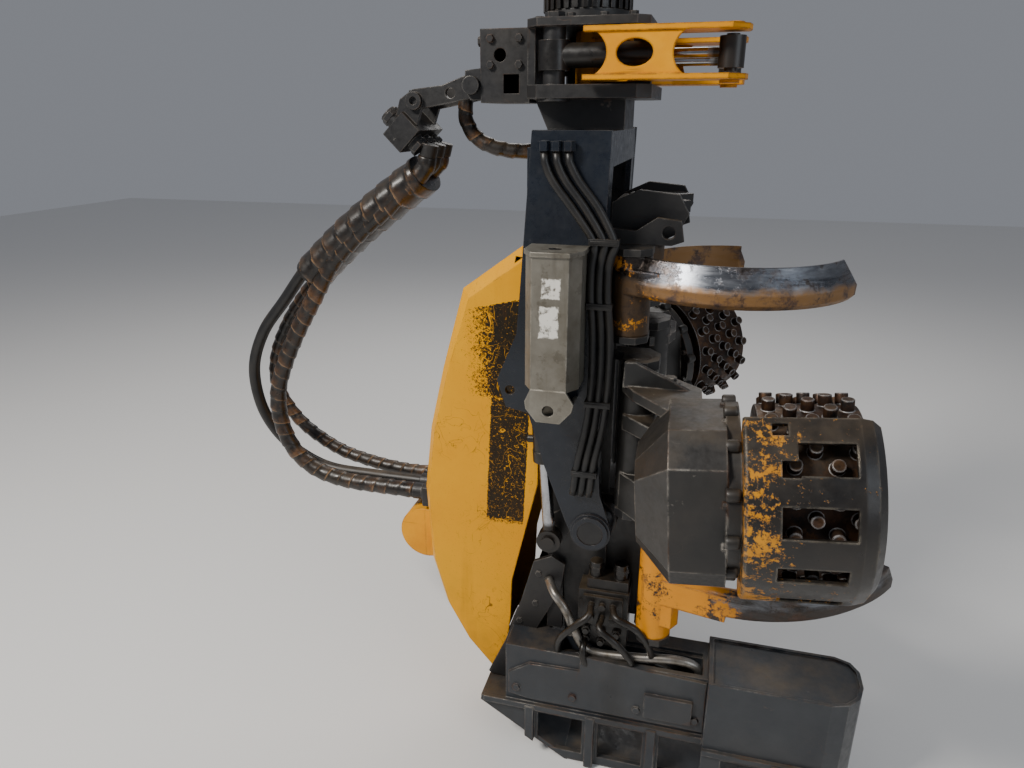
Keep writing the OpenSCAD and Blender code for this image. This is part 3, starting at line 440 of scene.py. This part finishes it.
def plain_rubber():
    p = Paint("hose_rubber")
    dark, light = tint(22, 22, 23), tint(38, 36, 34)
    colour, film = dusty(p, p.mix(p.step(p.noise(20, 4), 0.4, 0.7), dark, light), 0.4)
    return p.finish(Base_Color=colour, Roughness=0.42 + film * 0.4,
        Normal=p.bump(p.noise(140, 3), 0.0004, 0.5))


def oily_steel():
    p = Paint("pipe_steel")
    bright, dull = tint(150, 146, 140), tint(96, 88, 76)
    streak = p.noise(30, 5, 0.6)
    return p.finish(Base_Color=p.mix(p.step(streak, 0.4, 0.7), bright, dull),
        Roughness=p.step(streak, 0.3, 0.7, 0.25, 0.45), Metallic=0.8)


frame_black = worn_black("frame_black", tint(24, 24, 26), tint(40, 38, 36), bare=0.7, gloss=0.36)
# the leg's black is tinted blue: a painted reflection of the sky on its gloss
leg_black_painted_sky = worn_black("leg_black_painted_sky_sheen", tint(17, 22, 31), tint(27, 34, 44), bare=0.3, gloss=0.22,
    edge=0.003, dust=0.25)
cast_brown = worn_black("cast_brown", tint(27, 27, 27), tint(48, 45, 42), bare=0.95, gloss=0.32,
    edge=0.006, dust=0.3, metal=tint(196, 190, 180))
oil_black = worn_black("oil_black", tint(14, 13, 13), tint(28, 25, 22), bare=0.4, gloss=0.24,
    edge=0.003, dust=0.35)
# the saw box's black is lightened to a blue-grey: its own dark paint with a painted sky sheen on it
box_black_painted_sheen = worn_black("saw_box_black_painted_sheen", tint(34, 38, 44), tint(54, 57, 60), bare=0.9, gloss=0.3,
    edge=0.006, dust=0.4)
amber = cover_yellow()
arm_yellow = worn_yellow("arm_yellow", 0.45)
lug_yellow = worn_yellow("lug_yellow", 0.25)
upper_steel = knife_finish("upper_knife_steel", root_x=0.15, root_y=0.19, reach=0.12,
    blade_z=-0.908, lean=0.0, top=tint(70, 74, 82), bottom=tint(140, 98, 40), worn=0.45)
lower_steel = knife_finish("lower_knife_steel", root_x=0.255, root_y=0.205, reach=0.2,
    blade_z=-1.664, lean=0.105, top=tint(58, 52, 46), bottom=tint(50, 38, 28), worn=0.6)
near_guard = worn_guard("near_guard_black", True)
far_guard = worn_guard("far_guard_black", False)
roller_steel = sandy_roller()
gather_chrome = chromed("gather_rod_chrome", 0, 0.27, 0.285)
tilt_chrome = chromed("tilt_rod_chrome", 2, -1.515, -1.53)
silver = guard_silver()
wrap = wrapped_hose("spiral_wrap", tint(104, 72, 44), 0.9)
sleeve_wrap = wrapped_hose("sleeve_wrap", tint(120, 84, 50), 0.5)
rubber = plain_rubber()
pipe = oily_steel()

finishes = {
    "hanger": frame_black, "rotator_body": oil_black, "bracket": frame_black,
    "hose_box": frame_black, "hose_manifold": frame_black, "yoke": leg_black_painted_sky,
    "accumulator": oil_black, "accu_guard": silver,
    "gather_arm_near": arm_yellow, "gather_arm_far": arm_yellow,
    "gather_barrel_near": oil_black, "gather_barrel_far": oil_black,
    "gather_rod_near": gather_chrome, "gather_rod_far": gather_chrome,
    "tilt_barrels": oil_black, "tilt_rods": tilt_chrome,
    "frame": frame_black, "cover": amber, "fittings": lug_yellow, "top_knife": frame_black,
    "valve_block": oil_black, "measuring_arm": frame_black, "measuring_wheel": roller_steel,
    "upper_knife_near": upper_steel, "upper_knife_far": upper_steel,
    "lower_knife_near": lower_steel, "lower_knife_far": lower_steel,
    "roller_arm_near": cast_brown, "roller_arm_far": cast_brown,
    "roller_guard_near": near_guard, "roller_guard_far": far_guard,
    "feed_roller_near": roller_steel, "feed_roller_far": roller_steel,
    "saw_box": box_black_painted_sheen, "saw_motor": oil_black, "saw_bar": pipe,
}


# ---- hoses ----

def rounded(points, count):
    """A smooth line through the points, as count even steps, and its length."""
    points = [Vector(p) for p in points]
    ends = [2 * points[0] - points[1], *points, 2 * points[-1] - points[-2]]
    fine, per_span = [], 24
    for a, b, c, d in zip(ends, ends[1:], ends[2:], ends[3:]):
        for i in range(per_span):
            t = i / per_span
            fine.append(0.5 * (2 * b + (c - a) * t + (2 * a - 5 * b + 4 * c - d) * t * t
                + (3 * b - a - 3 * c + d) * t ** 3))
    fine.append(points[-1])
    run = [0]
    for a, b in zip(fine, fine[1:]):
        run.append(run[-1] + (b - a).length)
    line, k = [], 0
    for i in range(count + 1):
        s = run[-1] * i / count
        while k < len(run) - 2 and run[k + 1] < s:
            k += 1
        share = (s - run[k]) / max(run[k + 1] - run[k], 1e-9)
        line.append(fine[k].lerp(fine[k + 1], min(share, 1)))
    return line, run[-1]


def hose(name, points, radius, material, sides, spacing, pitch=0, lip=0, wide=1):
    """A hose along the points, with its centre line and length. With a pitch, a spiral wrap whose
    every turn rises to its lip. Its width is wide times its height."""
    chords = sum((Vector(b) - Vector(a)).length for a, b in zip(points, points[1:]))
    line, length = rounded(points, max(12, round(chords / spacing)))
    last = len(line) - 1
    mesh = bmesh.new()
    uv = mesh.loops.layers.uv.new("UVMap")
    rings, turns = [], []
    for i, centre in enumerate(line):
        heading = (line[min(i + 1, last)] - line[max(i - 1, 0)]).normalized()
        across = (Vector((0, 1, 0)) - heading * heading.y).normalized()
        up = heading.cross(across)
        turn = (length * i / last) / pitch if pitch else i * 0.2
        ring = []
        for k in range(sides):
            a = 2 * math.pi * k / sides
            r = radius - lip * (1 - (turn + k / sides) % 1) if pitch else radius
            ring.append(mesh.verts.new(
                centre + r * (wide * math.cos(a) * across + math.sin(a) * up)))
        rings.append(ring)
        turns.append(turn)
    for i in range(last):
        for k in range(sides):
            j = (k + 1) % sides
            face = mesh.faces.new([rings[i][k], rings[i][j], rings[i + 1][j], rings[i + 1][k]])
            face.smooth = True
            corners = ((i, k), (i, k + 1), (i + 1, k + 1), (i + 1, k))
            for loop, (row, col) in zip(face.loops, corners):
                loop[uv].uv = (turns[row] + col / sides, col / sides)
    mesh.faces.new(list(reversed(rings[0])))
    mesh.faces.new(rings[-1])
    bmesh.ops.recalc_face_normals(mesh, faces=mesh.faces)
    data = bpy.data.meshes.new(name)
    mesh.to_mesh(data)
    mesh.free()
    data.materials.append(material)
    piece = bpy.data.objects.new(name, data)
    bpy.context.collection.objects.link(piece)
    return piece, [tuple(p) for p in line], length


# Places of the hoses' points, as in the part's source. Each loop gives x and z, and the leg hoses
# give z, x and how far they lie apart at that height.
near_loop = [(-0.377, -0.632), (-0.383, -0.653), (-0.399, -0.675), (-0.432, -0.702),
    (-0.490, -0.756), (-0.572, -0.822), (-0.660, -0.908), (-0.724, -1.009), (-0.790, -1.117),
    (-0.840, -1.216), (-0.868, -1.302), (-0.866, -1.390), (-0.834, -1.472), (-0.768, -1.528),
    (-0.676, -1.552), (-0.575, -1.556), (-0.4523, -1.556)]
mid_loop = [(-0.377, -0.632), (-0.383, -0.653), (-0.406, -0.672), (-0.458, -0.696),
    (-0.534, -0.744), (-0.641, -0.818), (-0.758, -0.924), (-0.850, -1.034), (-0.930, -1.132),
    (-0.976, -1.244), (-0.970, -1.359), (-0.926, -1.447), (-0.852, -1.510), (-0.752, -1.550),
    (-0.610, -1.556), (-0.4523, -1.556)]
far_loop = [(-0.377, -0.632), (-0.383, -0.653), (-0.412, -0.680), (-0.510, -0.752),
    (-0.603, -0.820), (-0.702, -0.908), (-0.808, -1.018), (-0.886, -1.125), (-0.936, -1.235),
    (-0.938, -1.333), (-0.874, -1.433), (-0.762, -1.508), (-0.655, -1.540), (-0.540, -1.556),
    (-0.4523, -1.556)]
leg_places = [(-0.606, -0.014, 1.37), (-0.622, -0.014, 1.37), (-0.664, 0.006, 1.5),
    (-0.720, 0.050, 1.5), (-0.790, 0.094, 1.16), (-0.812, 0.093, 1.03), (-0.845, 0.0875, 0.96),
    (-0.880, 0.087, 0.96), (-0.915, 0.088, 0.96), (-1.000, 0.096, 1), (-1.110, 0.097, 1),
    (-1.210, 0.090, 1), (-1.310, 0.072, 1), (-1.400, 0.062, 1)]
column_run = [(-0.2243, 0.02, -0.446), (-0.248, 0.02, -0.446), (-0.284, 0.02, -0.470),
    (-0.3, 0.02, -0.512), (-0.298, 0.02, -0.552), (-0.274, 0.021, -0.588),
    (-0.232, 0.024, -0.61), (-0.176, 0.036, -0.62), (-0.112, 0.048, -0.618),
    (-0.0693, 0.048, -0.618)]
leg_hose_y, leg_hose_r, column_hose_r = -0.252, 0.009, 0.0195


def laid(places, y0, y1):
    """The loop's points, straight out of both ends and from y0 to y1 between them."""
    last = len(places) - 1
    return [(x, y0 + (y1 - y0) * min(max(i - 1, 0) / (last - 2), 1), z)
        for i, (x, z) in enumerate(places)]


def leg_run(side):
    return [(x + side * share, leg_hose_y, z) for z, x, share in leg_places]


# spiral sleeve round the three hoses where they leave their block
sleeve_run = [(-0.404, 0, -0.676), (-0.452, 0, -0.708), (-0.524, 0, -0.760),
    (-0.612, 0, -0.828), (-0.694, 0, -0.900), (-0.742, 0, -0.946)]
sleeve, _, _ = hose("loop_hose_sleeve", sleeve_run, 0.052, sleeve_wrap, sides=28, spacing=0.006,
    pitch=0.05, lip=0.005, wide=1.62)
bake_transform(sleeve)

for letter, places, y0, y1, radius, finish, pitch in (
        ("a", near_loop, -0.052, -0.06, 0.0245, wrap, 0.038),
        ("b", mid_loop, 0, 0, 0.0165, rubber, 0),
        ("c", far_loop, 0.052, 0.06, 0.0205, wrap, 0.036)):
    piece, line, length = hose(f"loop_hose_{letter}_wrap", laid(places, y0, y1), radius, finish,
        sides=20, spacing=0.005, pitch=pitch, lip=0.0032)
    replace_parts(piece, f"loop_hose_{letter}")
    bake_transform(piece)

for letter, side in (("a", -0.019), ("b", 0), ("c", 0.019)):
    piece, line, length = hose(f"leg_hose_{letter}_rubber", leg_run(side), leg_hose_r, rubber,
        sides=12, spacing=0.0225)
    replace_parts(piece, f"leg_hose_{letter}")
    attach(piece, "tilt_frame")

piece, line, length = hose("column_hose_wrap", column_run, column_hose_r, wrap, sides=20,
    spacing=0.005, pitch=0.036, lip=0.0028)
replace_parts(piece, "column_hose")
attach(piece, "tilt_frame")


# ---- modelling ----

def settled(name):
    """The new primitive, named, with its place moved into its mesh."""
    piece = bpy.context.object
    piece.name = piece.data.name = name
    bpy.ops.object.transform_apply(location=True, rotation=True, scale=True)
    return piece


def block(name, low, high):
    low, high = Vector(low), Vector(high)
    bpy.ops.object.select_all(action="DESELECT")
    bpy.ops.mesh.primitive_cube_add(size=1, location=(low + high) / 2, scale=high - low)
    return settled(name)


def rod(name, a, b, radius, sides=32):
    a, b = Vector(a), Vector(b)
    bpy.ops.object.select_all(action="DESELECT")
    bpy.ops.mesh.primitive_cylinder_add(vertices=sides, radius=radius, depth=(b - a).length,
        location=(a + b) / 2, rotation=(b - a).to_track_quat("Z", "Y").to_euler())
    return settled(name)


def in_edit(piece, chosen, *steps):
    """Selects the faces that a test on their middle and direction picks, and runs the steps."""
    bpy.context.view_layer.objects.active = piece
    bpy.ops.object.mode_set(mode="EDIT")
    bpy.ops.mesh.select_mode(type="FACE")
    bpy.ops.mesh.select_all(action="DESELECT")
    shape = bmesh.from_edit_mesh(piece.data)
    for face in shape.faces:
        face.select_set(chosen(face.calc_center_median(), face.normal))
    bmesh.update_edit_mesh(piece.data)
    for step in steps:
        step()
    bpy.ops.object.mode_set(mode="OBJECT")


def inset(width):
    return lambda: bpy.ops.mesh.inset(thickness=width, depth=0)


def pushed(x, y, z):
    return lambda: bpy.ops.mesh.extrude_region_move(TRANSFORM_OT_translate={"value": (x, y, z)})


def moved(x, y, z):
    return lambda: bpy.ops.transform.translate(value=(x, y, z))


def eased(piece, width, segments=2):
    """The piece with its sharp edges rounded and its faces shaded to match."""
    bpy.context.view_layer.objects.active = piece
    bevel = piece.modifiers.new("edges", "BEVEL")
    bevel.width, bevel.segments, bevel.limit_method = width, segments, "ANGLE"
    bevel.angle_limit = math.radians(30)
    bpy.ops.object.modifier_apply(modifier="edges")
    piece.select_set(True)
    bpy.ops.object.shade_smooth_by_angle(angle=math.radians(35))
    piece.select_set(False)
    return piece


def copies(piece, places):
    """A copy with its own mesh for each place, in the piece's stead."""
    made = []
    for place in places:
        twin = piece.copy()
        twin.data = piece.data.copy()
        twin.data.transform(place)
        bpy.context.collection.objects.link(twin)
        made.append(twin)
    bpy.data.objects.remove(piece)
    return made


def joined(name, pieces):
    bpy.ops.object.select_all(action="DESELECT")
    for piece in pieces:
        piece.select_set(True)
    bpy.context.view_layer.objects.active = pieces[0]
    bpy.ops.object.join()
    piece = bpy.context.object
    piece.name = piece.data.name = name
    piece.select_set(False)
    return piece


def dressed(piece, material, body):
    """The piece in its material, riding on its body."""
    piece.data.materials.clear()
    piece.data.materials.append(material)
    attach(piece, body)
    return piece


def outward(piece):
    """The piece with all its faces turned outwards."""
    in_edit(piece, lambda c, n: True, lambda: bpy.ops.mesh.normals_make_consistent(inside=False))
    return piece


def turned(degrees, axis="Z"):
    return Matrix.Rotation(math.radians(degrees), 4, axis)


# ---- rollers with round studs ----

# a roller is made along its own z; the far arm is the near one mirrored and opened on its hinge
roller_place = Matrix.Translation((0.535, -0.4, -1.243)) @ turned(2) @ turned(85.5, "Y")
hinge = Vector((0.18, 0.188, 0))
arm_open = (Matrix.Translation(hinge) @ turned(49) @ Matrix.Translation(-hinge)
    @ Matrix.Scale(-1, 4, (0, 1, 0)))


def studded_roller(side, place):
    """Drum, recessed end with its bolts, and staggered rows of round studs."""
    rows, around, width, drum_r, tip_r = 5, 18, 0.19, 0.172, 0.196
    boss_r, boss_end, bolt_circle_r, bolts = 0.056, -0.1097, 0.07, 8
    drum = rod("drum", (0, 0, -width / 2), (0, 0, width / 2), drum_r, 72)
    in_edit(drum, lambda c, n: n.z > 0.9, inset(0.03), pushed(0, 0, -0.012), inset(0.045),
        pushed(0, 0, 0.02))
    in_edit(drum, lambda c, n: n.z < -0.9, inset(0.03), pushed(0, 0, 0.01))
    pieces = [eased(drum, 0.003), rod("boss", (0, 0, boss_end), (0, 0, -0.08), boss_r, 40)]
    bolt = rod("bolt", (bolt_circle_r, 0, width / 2 + 0.002),
        (bolt_circle_r, 0, width / 2 + 0.013), 0.009, 6)
    pieces += copies(eased(bolt, 0.0015), [turned(360 / bolts * i) for i in range(bolts)])
    stud = rod("stud", (drum_r - 0.004, 0, 0), (tip_r, 0, 0), 0.0128, 12)
    in_edit(stud, lambda c, n: n.x > 0.9, inset(0.003), moved(-0.001, 0, 0))
    stud = eased(stud, 0.0045, 3)
    pitch = (width - 0.01) / rows
    pieces += copies(stud, [turned(360 * (i + 0.5 * (k % 2)) / around)
        @ Matrix.Translation((0, 0, (k - (rows - 1) / 2) * pitch))
        for k in range(rows) for i in range(around)])
    roller = joined(f"studded_roller_{side}", pieces)
    roller.data.transform(place)
    roller = dressed(outward(roller), roller_steel, f"feed_roller_{side}")
    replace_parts(roller, f"feed_roller_{side}")


studded_roller("near", roller_place)
studded_roller("far", arm_open @ roller_place)


# ---- nuts on the flange between each roller's motor housing and its guard ----

def flange_nuts(side, place):
    nuts, circle_r, back, face = 12, 0.177, -0.157, -0.129
    nut = rod("nut", (circle_r, 0, back), (circle_r, 0, face), 0.0135, 16)
    ring = joined(f"flange_nuts_{side}", copies(eased(nut, 0.005, 3),
        [place @ turned(360 / nuts * i + 8) for i in range(nuts)]))
    dressed(outward(ring), cast_brown, f"roller_arm_{side}")


flange_nuts("near", roller_place)
flange_nuts("far", arm_open @ roller_place)


# ---- round lug and hose ends behind the cover ----

lug_x, lug_z, lug_r, lug_half = -0.412, -1.676, 0.078, 0.088
root_half = lug_half - 0.0002
lug = joined("cover_lug", [
    eased(rod("lug_round", (lug_x, -lug_half, lug_z), (lug_x, lug_half, lug_z), lug_r, 72),
        0.004, 3),
    eased(block("lug_root", (-0.414, -root_half, -1.752), (-0.362, root_half, -1.6)), 0.004, 3)])
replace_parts(dressed(outward(lug), lug_yellow, "head"), "fittings")

hose_end_z = -1.556
ends = [eased(block("hose_plate", (-0.418, -0.095, hose_end_z - 0.03),
    (-0.386, 0.095, hose_end_z + 0.03)), 0.004, 3)]
for y in (-0.06, 0, 0.06):
    ends.append(rod("hose_stub", (-0.452, y, hose_end_z), (-0.376, y, hose_end_z), 0.024))
    collar = rod("hose_collar", (-0.424, y, hose_end_z), (-0.404, y, hose_end_z), 0.0285, 6)
    ends.append(eased(collar, 0.002))
dressed(outward(joined("hose_ends", ends)), frame_black, "head")


# ---- pipes, ties and other small work on the frames ----

def bent_pipe(name, points, radius, material):
    piece, _, _ = hose(name, points, radius, material, sides=14, spacing=0.008)
    dressed(piece, material, "head")


thick_pipe_r, thin_pipe_r = 0.012, 0.009
bent_pipe("valve_pipe_long", [(-0.03, -0.17, -1.71), (-0.004, -0.212, -1.722),
    (0.028, -0.226, -1.756), (0.052, -0.228, -1.81), (0.078, -0.228, -1.858),
    (0.118, -0.228, -1.876), (0.22, -0.228, -1.868), (0.32, -0.224, -1.858),
    (0.37, -0.216, -1.874), (0.386, -0.206, -1.914), (0.388, -0.2, -1.966)],
    thick_pipe_r, pipe)
bent_pipe("valve_pipe_low", [(0.004, -0.2, -1.966), (0.022, -0.21, -1.916),
    (0.06, -0.218, -1.896), (0.16, -0.22, -1.892), (0.26, -0.216, -1.888),
    (0.31, -0.208, -1.914), (0.318, -0.2, -1.966)], thin_pipe_r, oil_black)
for k, run in enumerate((
        [(0.096, -0.23, -1.73), (0.094, -0.262, -1.738), (0.06, -0.272, -1.77),
            (0.02, -0.258, -1.83), (0.012, -0.232, -1.9), (0.024, -0.21, -1.966)],
        [(0.152, -0.23, -1.73), (0.166, -0.26, -1.734), (0.216, -0.262, -1.756),
            (0.25, -0.24, -1.82), (0.262, -0.216, -1.9), (0.262, -0.2, -1.966)],
        [(0.124, -0.23, -1.766), (0.126, -0.264, -1.772), (0.17, -0.274, -1.8),
            (0.206, -0.254, -1.86), (0.21, -0.226, -1.92), (0.204, -0.21, -1.966)],
        [(0.084, -0.228, -1.842), (0.082, -0.25, -1.85), (0.086, -0.256, -1.88),
            (0.104, -0.236, -1.93), (0.108, -0.21, -1.966)])):
    bent_pipe(f"valve_pipe_{k + 1}", run, thin_pipe_r, oil_black)

# ties round the leg hoses: height, and where each begins and ends along x
tie_spans = ((-0.79, 0.061, 0.127), (-0.93, 0.060, 0.118), (-1.16, 0.064, 0.124),
    (-1.34, 0.038, 0.100))
tie_half_height, tie_half_depth = 0.007, 0.0115
for k, (z, x0, x1) in enumerate(tie_spans):
    tie = block(f"hose_tie_{k + 1}", (x0, leg_hose_y - tie_half_depth, z - tie_half_height),
        (x1, leg_hose_y + tie_half_depth, z + tie_half_height))
    in_edit(tie, lambda c, n: n.y < -0.9, inset(0.004), pushed(0, -0.0015, 0))
    dressed(eased(tie, 0.003, 3), rubber, "tilt_frame")


# ---- chain round the saw bar ----

# the bar's outline lies along x from its pin, and is turned to where the bar is parked
bar_turn = Matrix.Translation((-0.06, -0.108, -2.1145)) @ turned(-7)
bar_edge = [(-0.05, -0.024), (-0.03, -0.04), (0, -0.044), (0.64, -0.042), (0.72, -0.032),
    (0.742, -0.018), (0.75, 0), (0.742, 0.018), (0.72, 0.032), (0.64, 0.042), (0, 0.044),
    (-0.03, 0.04), (-0.05, 0.024)]
tooth_pitch = 0.017
tooth = block("tooth", (-0.006, -0.001, -0.0045), (0.006, 0.0055, 0.0045))
in_edit(tooth, lambda c, n: n.y > 0.9, lambda: bpy.ops.transform.resize(value=(0.6, 1, 0.6)),
    moved(0.002, 0, 0))
tooth_places = []
for (ax, ay), (bx, by) in zip(bar_edge, bar_edge[1:]):
    run = Vector((bx - ax, by - ay, 0))
    teeth = max(1, round(run.length / tooth_pitch))
    for i in range(teeth):
        at = Vector((ax, ay, 0)) + run * (i / teeth)
        tooth_places.append(bar_turn @ Matrix.Translation(at)
            @ Matrix.Rotation(math.atan2(run.y, run.x) + math.pi, 4, "Z"))
chain = joined("saw_chain", copies(tooth, tooth_places))
dressed(outward(chain), roller_steel, "saw_bar")


# ---- finishes of the CAD's own pieces ----

for node, material in finishes.items():
    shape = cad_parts[node]
    shape.data.materials.clear()
    shape.data.materials.append(material)


# ---- floor and light ----

floor_z = -2.24
bpy.ops.mesh.primitive_plane_add(size=24, location=(0, 0, floor_z))
floor = bpy.context.object
floor.name = "floor"
pale = Paint("floor_pale")
floor.data.materials.append(pale.finish(Base_Color=(0.8, 0.79, 0.77, 1), Roughness=0.9))

world = bpy.data.worlds.new("studio")
bpy.context.scene.world = world
world.use_nodes = True
sky = world.node_tree.nodes["Background"]
sky.inputs["Color"].default_value = (0.86, 0.9, 1, 1)
sky.inputs["Strength"].default_value = 0.25


def lamp(name, place, aim, size, power, colour):
    light = bpy.data.lights.new(name, "AREA")
    light.size, light.energy, light.color = size, power, colour
    shade = bpy.data.objects.new(name, light)
    shade.location = place
    shade.rotation_euler = (Vector(aim) - Vector(place)).to_track_quat("-Z", "Y").to_euler()
    bpy.context.collection.objects.link(shade)


lamp("key", (-2.4, -2.8, 2.2), (0, 0, -1.2), 1.0, 260, (1, 0.96, 0.9))
lamp("fill", (3.2, -2.2, 0.2), (0.2, 0, -1.3), 2.4, 36, (0.86, 0.93, 1))
lamp("back", (-0.5, 3.4, 2.0), (0, 0, -1.0), 2.4, 70, (1, 0.98, 0.95))
